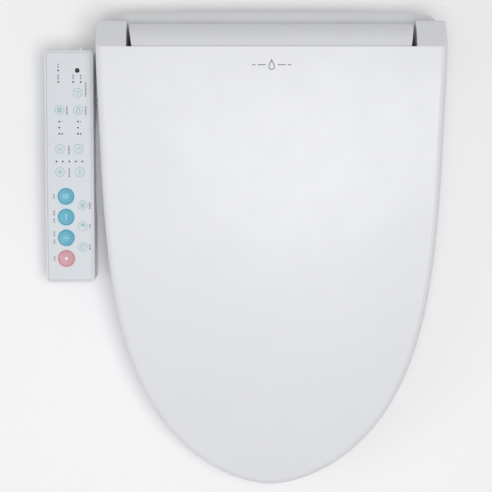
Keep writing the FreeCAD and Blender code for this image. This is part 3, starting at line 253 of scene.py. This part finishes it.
FACE_PINK = moulded("pink_key_face", (0.63, 0.32, 0.37), rough=0.42, vary=0.03, grain=0.04)
GLASS_EYE = moulded("sensor_eye", (0.05, 0.05, 0.06), rough=0.2, vary=0.05, grain=0.01)

for entry in frame["record"]["subparts"]:
    mesh = nodes[entry["node"]].data
    mesh.materials.clear()
    mesh.materials.append(MATERIALS[entry["material_slot"]])


# ---------------------------------------------------------------- mesh helpers
def piece(name, bm, materials, body):
    """Turns a bmesh in the row frame into an object that rides on a body."""
    bmesh.ops.remove_doubles(bm, verts=bm.verts, dist=1e-7)
    bmesh.ops.recalc_face_normals(bm, faces=bm.faces)
    mesh = bpy.data.meshes.new(name)
    bm.to_mesh(mesh)
    bm.free()
    for mat in materials:
        mesh.materials.append(mat)
    obj = bpy.data.objects.new(name, mesh)
    bpy.context.scene.collection.objects.link(obj)
    mesh.shade_smooth()
    mesh.set_sharp_from_angle(angle=SHARP_ANGLE)
    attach(obj, body)
    return obj


def panel_matrix():
    """From panel coordinates (across, back, up from the rear end of the top face) to the row frame."""
    turn = Matrix.Rotation(PANEL_SLOPE, 4, "X")
    local = [turn.inverted() @ v.co for v in nodes["panel_cover"].data.vertices]
    low_x, high_x = min(p.x for p in local), max(p.x for p in local)
    origin = Vector(((low_x + high_x) / 2, max(p.y for p in local), max(p.z for p in local)))
    return turn @ Matrix.Translation(origin)


PANEL = panel_matrix()


def in_panel(node):
    """Lowest and highest corner of a node in panel coordinates."""
    inverse = PANEL.inverted()
    local = [inverse @ v.co for v in nodes[node].data.vertices]
    low = Vector([min(p[i] for p in local) for i in range(3)])
    high = Vector([max(p[i] for p in local) for i in range(3)])
    return low, high


def lathe(bm, profile, centre, matrix, steps, marks=None):
    """Adds the surface of (radius, height) points turned about the local Z axis at centre.

    marks gives the material index of each band between two points.
    """
    rings = []
    for r, h in profile:
        if r < 1e-9:
            rings.append([bm.verts.new(matrix @ Vector((centre[0], centre[1], h)))])
            continue
        ring = []
        for i in range(steps):
            a = 2 * math.pi * i / steps
            point = Vector((centre[0] + r * math.cos(a), centre[1] + r * math.sin(a), h))
            ring.append(bm.verts.new(matrix @ point))
        rings.append(ring)
    for k, (a, b) in enumerate(zip(rings, rings[1:])):
        for i in range(steps):
            j = (i + 1) % steps
            if len(a) == 1:
                f = bm.faces.new((a[0], b[j], b[i]))
            elif len(b) == 1:
                f = bm.faces.new((a[i], a[j], b[0]))
            else:
                f = bm.faces.new((a[i], a[j], b[j], b[i]))
            f.material_index = marks[k] if marks else 0


def round_corner(r, h, radius, steps=5):
    """(radius, height) points of a quarter round from a flat top at h to a wall at r."""
    points = []
    for i in range(steps + 1):
        a = math.pi / 2 * i / steps
        points.append((r - radius + radius * math.sin(a), h - radius + radius * math.cos(a)))
    return points


# ---------------------------------------------------------------- printed marks
def ribbon(bm, points, width, matrix, base, top, closed=False):
    """A flat line through the points, as a thin closed body between two heights: print, and the painted
    highlight rings round the keys.
    """
    count = len(points)
    left, right = [], []
    for i, p in enumerate(points):
        p = Vector(p)
        before = Vector(points[i - 1]) if (i or closed) else p
        after = Vector(points[(i + 1) % count]) if (i < count - 1 or closed) else p
        d_in = (p - before).normalized() if (p - before).length > 1e-9 else (after - p).normalized()
        d_out = (after - p).normalized() if (after - p).length > 1e-9 else d_in
        middle = (d_in + d_out).normalized()
        side = Vector((-middle.y, middle.x))
        reach = width / 2 / max(0.5, middle.dot(d_out))
        left.append(p + side * reach)
        right.append(p - side * reach)
    loops = []
    for line in (left, right):
        for h in (base, top):
            loops.append([bm.verts.new(matrix @ Vector((q.x, q.y, h))) for q in line])
    left_low, left_high, right_low, right_high = loops
    last = count if closed else count - 1
    for i in range(last):
        j = (i + 1) % count
        quads = ((left_high[i], left_high[j], right_high[j], right_high[i]),
                 (right_low[i], right_low[j], left_low[j], left_low[i]),
                 (left_low[i], left_low[j], left_high[j], left_high[i]),
                 (right_high[i], right_high[j], right_low[j], right_low[i]))
        for q in quads:
            bm.faces.new(q)
    if not closed:
        for i in (0, count - 1):
            bm.faces.new((left_low[i], left_high[i], right_high[i], right_low[i]))


def spot(bm, centre, radius, matrix, base, top, steps):
    """A printed dot."""
    profile = [(0, top), (radius, top), (radius, base), (0, base)]
    lathe(bm, profile, centre, matrix, steps)


def arc_points(cx, cy, radius, start, end, steps=10):
    """Points of an arc from one angle in degrees to another."""
    angles = [math.radians(start + (end - start) * i / steps) for i in range(steps + 1)]
    return [(cx + radius * math.cos(a), cy + radius * math.sin(a)) for a in angles]


def drop_points(cx, cy, size, steps=22):
    """A closed drop with its point towards +Y."""
    points = []
    for i in range(steps):
        a = 2 * math.pi * i / steps
        pinch = 0.5 * (1 - math.cos(a))
        points.append((cx + size * 0.95 * math.sin(a) * pinch ** 0.75, cy + size * math.cos(a) * 1.15))
    return points


def wave_points(cx, cy, length, height, turns=1.5, steps=16):
    """A wavy line along Y."""
    return [(cx + height * math.sin(2 * math.pi * turns * i / steps), cy + length * (i / steps - 0.5))
            for i in range(steps + 1)]


def icon(kind, size):
    """Generic pictograms about the origin, as (points, closed) lines and (x, y, radius) dots."""
    s = size
    lines, dots = [], []
    if kind == "plus":
        lines = [([(-s, 0), (s, 0)], False), ([(0, -s), (0, s)], False)]
    elif kind == "minus":
        lines = [([(0, -s), (0, s)], False)]
    elif kind == "forward":
        lines = [([(-s, 0.5 * s), (0, -0.5 * s), (s, 0.5 * s)], False)]
    elif kind == "back":
        lines = [([(-s, -0.5 * s), (0, 0.5 * s), (s, -0.5 * s)], False)]
    elif kind == "drop":
        lines = [(drop_points(0, 0, s), True)]
    elif kind == "seat":
        ring = [(0.75 * s * math.cos(a), s * math.sin(a)) for a in [2 * math.pi * i / 24 for i in range(24)]]
        inner = [(0.38 * x / 0.75, 0.55 * y) for x, y in ring]
        lines = [(ring, True), (inner, True)]
    elif kind == "clean":
        lines = [([(0, -s), (0, -0.15 * s)], False), ([(0, 0.35 * s), (0, s)], False)]
        lines += [([(side * 0.35 * s, 0.15 * s), (side * 0.85 * s, 0.6 * s)], False) for side in (-1, 1)]
    elif kind == "wave":
        lines = [(wave_points(x, 0, 1.9 * s, 0.18 * s), False) for x in (-0.55 * s, 0, 0.55 * s)]
    elif kind == "pulse":
        lines = [(arc_points(0, 0, r * s, 20, 160), False) for r in (0.35, 0.7, 1.05)]
    elif kind == "cycle":
        lines = [(arc_points(0, 0, 0.85 * s, 30, 300, 18), False)]
        dots = [(0.85 * s * math.cos(math.radians(345)), 0.85 * s * math.sin(math.radians(345)), 0.2 * s)]
    elif kind == "spray":
        lines = [(arc_points(0, -0.9 * s, 0.9 * s, 40, 140), False), ([(0, -s), (0, -0.35 * s)], False)]
        dots = [(0.5 * s * i, 0.35 * s + 0.28 * s * (1 - abs(i)), 0.15 * s) for i in (-1, 0, 1)]
        dots += [(0.5 * s * i, 0.85 * s + 0.28 * s * (1 - abs(i)), 0.12 * s) for i in (-1, 0, 1)]
    elif kind == "fountain":
        lines = [([(0, -s), (0, 0.45 * s)], False)]
        lines += [(arc_points(side * 0.45 * s, 0.25 * s, 0.42 * s, 90 - side * 95, 90 + side * 75), False)
                  for side in (-1, 1)]
    return lines, dots


def print_icon(bm, kind, size, width, centre, base):
    """Prints a pictogram on the panel's face at a height."""
    lines, dots = icon(kind, size)
    top = base + INK_THICK
    for points, closed in lines:
        moved = [(centre[0] + x, centre[1] + y) for x, y in points]
        ribbon(bm, moved, width, PANEL, base, top, closed)
    for x, y, r in dots:
        spot(bm, (centre[0] + x, centre[1] + y), r, PANEL, base, top, 14)


# ---------------------------------------------------------------- control panel
KEYS = {
    "button_dry": ("wave", "big"),
    "button_front_wash": ("fountain", "big"),
    "button_rear_wash": ("spray", "big"),
    "button_stop": ("", "stop"),
    "button_nozzle_clean": ("clean", "teal"),
    "button_seat_heat": ("seat", "teal"),
    "button_water_heat": ("drop", "green"),
    "button_nozzle_back": ("back", "teal"),
    "button_nozzle_forward": ("forward", "teal"),
    "button_pressure_up": ("plus", "teal"),
    "button_pressure_down": ("minus", "green"),
    "button_massage": ("wave", "green"),
    "button_pulse": ("pulse", "teal"),
    "button_auto": ("cycle", "green"),
}


def make_key(node, kind, style):
    """A pressed-in key: shallow dish, rounded shoulder, skirt, and its pictogram on top."""
    low, high = in_panel(node)
    centre = ((low.x + high.x) / 2, (low.y + high.y) / 2)
    big = style in ("big", "stop")
    r = (BIG_BUTTON_R if big else SMALL_BUTTON_R) + KEY_GROWTH
    top = high.z
    dish = 0.30 * MM if big else 0.12 * MM
    dish_r = r * 0.84
    profile = [(dish_r * i / 8, top - dish * (1 - (i / 8) ** 2)) for i in range(9)]
    profile += round_corner(r, top, 0.35 * MM)
    flange = low.z + 1.3 * MM
    profile += [(r, flange), (r + 0.7 * MM, flange), (r + 0.7 * MM, low.z), (0, low.z)]
    marks = [1 if i < 8 else 0 for i in range(len(profile) - 1)]
    bm = bmesh.new()
    lathe(bm, profile, centre, PANEL, 80 if big else 48, marks)
    rim = {"big": "button_blue", "stop": "button_pink"}.get(style, "button_pale")
    face = {"big": FACE_BLUE, "stop": FACE_PINK}.get(style, MATERIALS[rim])
    key = piece(f"{node}_cap", bm, [MATERIALS[rim], face], node)
    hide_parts(node)
    bm = bmesh.new()
    ink = {"big": INK_SKY, "stop": INK_WHITE, "teal": INK_TEAL, "green": INK_GREEN}[style]
    base = top - dish - 0.01 * MM
    if style == "stop":
        spot(bm, centre, r * 0.19, PANEL, base, base + 0.10 * MM, 32)
    else:
        size, width = (r * 0.55, 1.0 * MM) if big else (r * 0.56, 0.75 * MM)
        print_icon(bm, kind, size, width, centre, base)
    piece(f"{node}_icon", bm, [ink], node)
    # painted highlight: a pale ring on the film round the key
    bm = bmesh.new()
    film = -FILM_DEPTH
    width = (1.15 if big else 0.85) * MM
    middle = r + PAINTED_HIGHLIGHT_GAP + width / 2
    ring = arc_points(centre[0], centre[1], middle, 0, 360, 72)[:-1]
    ribbon(bm, ring, width, PANEL, film, film + INK_THICK, closed=True)
    painted_highlight = {"big": PAINTED_HIGHLIGHT_BLUE, "stop": PAINTED_HIGHLIGHT_PINK}.get(style, PAINTED_HIGHLIGHT_PALE)
    piece(f"{node}_halo", bm, [painted_highlight], "main_unit")


def dashes(bm, across, along, length):
    """A generic label: two rows of short bars that run along the panel."""
    film = -FILM_DEPTH
    pattern = (1.7, 1.3, 2.1, 1.5)
    rows = ((-0.42, 0.62), (0.48, 0.50))         # (across, width) of each row
    gap = 0.42
    v, k = along - length / 2, 0
    while v < along + length / 2 - 0.6:
        bar = min(pattern[k % 4], along + length / 2 - v)
        for side, width in rows:
            u = across + side
            start, end = v + 0.15 * (k % 2), v + bar - 0.12 * ((k + 1) % 2)
            line = [(u * MM, -start * MM), (u * MM, -end * MM)]
            ribbon(bm, line, width * MM, PANEL, film, film + INK_THICK)
        v += bar + gap
        k += 1


# (across, along, length) of the printed labels, in mm on the panel
LABELS = [
    (-11.6, 17.4, 4.6), (-11.6, 29.8, 5.6), (5.0, 29.8, 5.0), (13.6, 29.8, 5.0),
    (18.8, 44.0, 17.0), (-2.2, 67.2, 9.8), (18.7, 67.2, 9.8),
    (-0.3, 111.4, 10.6), (-0.2, 136.8, 10.6),
    (-17.6, 163.0, 5.0), (-17.6, 181.5, 5.6), (-17.6, 190.3, 5.0),
    (-17.6, 205.2, 5.6), (-17.6, 214.0, 5.0), (-17.6, 232.9, 5.0),
    (22.3, 173.6, 8.4), (22.3, 196.6, 4.6), (22.3, 220.4, 6.6),
]


def make_panel_print():
    bm = bmesh.new()
    for across, along, length in LABELS:
        dashes(bm, across, along, length)
    # level marks beside the first and last light of each column
    film = -FILM_DEPTH
    for column in (-10.9, 9.9):
        for along, size in ((79.4, 1.1), (93.0, 1.9)):
            across = column + 3.0
            line = [(across * MM, -(along - size / 2) * MM), (across * MM, -(along + size / 2) * MM)]
            ribbon(bm, line, size * 0.85 * MM, PANEL, film, film + INK_THICK)
    piece("panel_print", bm, [INK_DARK], "main_unit")
    # thin printed border along the film's edge
    low, high = in_panel("panel_overlay")
    inset, r = 0.45 * MM, 3.0 * MM
    x0, x1, y0, y1 = low.x + inset, high.x - inset, low.y + inset, high.y - inset
    rounds = ((x1 - r, y1 - r, 0), (x0 + r, y1 - r, 90), (x0 + r, y0 + r, 180), (x1 - r, y0 + r, 270))
    corners = []
    for cx, cy, start in rounds:
        corners += arc_points(cx, cy, r, start, start + 90, 8)
    bm = bmesh.new()
    ribbon(bm, corners, 0.4 * MM, PANEL, film, film + INK_THICK, closed=True)
    piece("panel_border", bm, [INK_LINE], "main_unit")


def make_lights():
    """Domed ends of the light pipes and the sensor's window with its bezel."""
    inverse = PANEL.inverted()
    centres = []
    tops = [inverse @ v.co for v in nodes["indicator_leds"].data.vertices]
    high = max(p.z for p in tops)
    for p in tops:
        if p.z < high - 0.1 * MM:
            continue
        near = [c for c in centres if (c[0] - p.xy).length < 2.5 * MM]
        if near:
            near[0][1].append(p.xy.copy())
        else:
            centres.append((p.xy.copy(), [p.xy.copy()]))
    bm = bmesh.new()
    r = 0.92 * MM
    for _, points in centres:
        middle = ((min(p.x for p in points) + max(p.x for p in points)) / 2,
                  (min(p.y for p in points) + max(p.y for p in points)) / 2)
        dome = [(0, high)] + [(r * math.sin(a), high - 0.22 * MM * (1 - math.cos(a)))
                              for a in [math.pi / 2 * i / 5 for i in range(1, 6)]]
        dome += [(r, high - 8.0 * MM), (0, high - 8.0 * MM)]
        lathe(bm, dome, middle, PANEL, 24)
    lights = piece("indicator_lights", bm, [MATERIALS["indicator_clear"]], "main_unit")
    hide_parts("indicator_leds")
    low, high = in_panel("sensor_window")
    centre = ((low.x + high.x) / 2, (low.y + high.y) / 2)
    r = (high.x - low.x) / 2
    eye = 0.7 * MM
    profile = [(0, high.z - 0.10 * MM), (eye * 0.6, high.z - 0.13 * MM), (eye, high.z - 0.2 * MM)]
    profile += [(r * 0.5, high.z - 0.04 * MM)] + round_corner(r, high.z, 0.3 * MM) + [(r, low.z), (0, low.z)]
    bm = bmesh.new()
    lathe(bm, profile, centre, PANEL, 48, [1, 1] + [0] * (len(profile) - 3))
    window = piece("sensor_lens", bm, [MATERIALS["sensor_dark"], GLASS_EYE], "main_unit")
    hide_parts("sensor_window")


def make_lid_mark():
    """A small generic drop with two dashes on each side, printed near the lid's rear edge."""
    lid = nodes["lid_shell"]
    tree = BVHTree.FromPolygons([v.co for v in lid.data.vertices], [p.vertices for p in lid.data.polygons])
    y = MARK_Y
    above = 1.0                                   # rays start well over the lid
    bm = bmesh.new()
    up = Matrix.Identity(4)
    ribbon(bm, drop_points(0, y, MARK_DROP), MARK_LINE, up, 0, INK_THICK, closed=True)
    for side in (-1, 1):
        for start, length in ((6.5, 8.5), (17.5, 3.5)):
            line = [(side * start * MM, y), (side * (start + length) * MM, y)]
            ribbon(bm, line, MARK_LINE, up, 0, INK_THICK)
    for v in bm.verts:
        hit = tree.ray_cast(Vector((v.co.x, v.co.y, above)), Vector((0, 0, -1)))[0]
        v.co.z += hit.z - MARK_SUNK
    piece("lid_mark", bm, [INK_MARK], "lid")


for name, (kind, style) in KEYS.items():
    make_key(name, kind, style)
make_panel_print()
make_lights()
make_lid_mark()


# ---------------------------------------------------------------- studio
def make_floor():
    """A matt white floor just under the object."""
    bm = bmesh.new()
    bmesh.ops.create_grid(bm, x_segments=2, y_segments=2, size=FLOOR_HALF)
    mesh = bpy.data.meshes.new("floor")
    bm.to_mesh(mesh)
    bm.free()
    floor = bpy.data.objects.new("floor", mesh)
    floor.location.z = cad_box[0][2] - FLOOR_GAP
    mat, tree, bsdf, add = shader("floor_paper")
    where = place(add)
    mix = add("ShaderNodeMix", data_type="RGBA")
    mix.inputs["A"].default_value = (0.955, 0.955, 0.96, 1)
    mix.inputs["B"].default_value = (0.965, 0.965, 0.97, 1)
    tree.links.new(noise_at(tree, add, where, 3.0), mix.inputs["Factor"])
    tree.links.new(mix.outputs["Result"], bsdf.inputs["Base Color"])
    bsdf.inputs["Roughness"].default_value = 0.9
    mesh.materials.append(mat)
    bpy.context.scene.collection.objects.link(floor)


def make_lights_and_camera():
    """A soft room, a wide key light over the front, a faint side light and the camera."""
    world = bpy.data.worlds.new("soft_room")
    world.use_nodes = True
    world.node_tree.nodes["Background"].inputs["Color"].default_value = (0.98, 0.99, 1.0, 1)
    world.node_tree.nodes["Background"].inputs["Strength"].default_value = ROOM_LIGHT
    bpy.context.scene.world = world

    lamps = (("key", (0.15, -0.40, 2.20), (0.0, -0.25, 0.1), 0.8, 21.5, (1.0, 0.995, 0.985)),
             ("rim", (-1.3, -0.6, 1.2), (0.0, -0.2, 0.1), 1.0, 3.0, (0.97, 0.985, 1.0)))
    for name, place_at, aim, size, power, colour in lamps:
        data = bpy.data.lights.new(name, "AREA")
        data.shape = "DISK"
        data.size = size
        data.energy = power
        data.color = colour
        light = bpy.data.objects.new(name, data)
        light.location = place_at
        light.rotation_euler = (Vector(aim) - Vector(place_at)).to_track_quat("-Z", "Y").to_euler()
        bpy.context.scene.collection.objects.link(light)

    data = bpy.data.cameras.new("camera")
    data.sensor_width = 36.0
    data.lens = CAMERA_LENS
    data.clip_end = 20.0
    camera = bpy.data.objects.new("camera", data)
    camera.location = CAMERA_AT
    bpy.context.scene.collection.objects.link(camera)
    bpy.context.scene.camera = camera


make_floor()
make_lights_and_camera()
bpy.context.scene.view_settings.view_transform = "Standard"
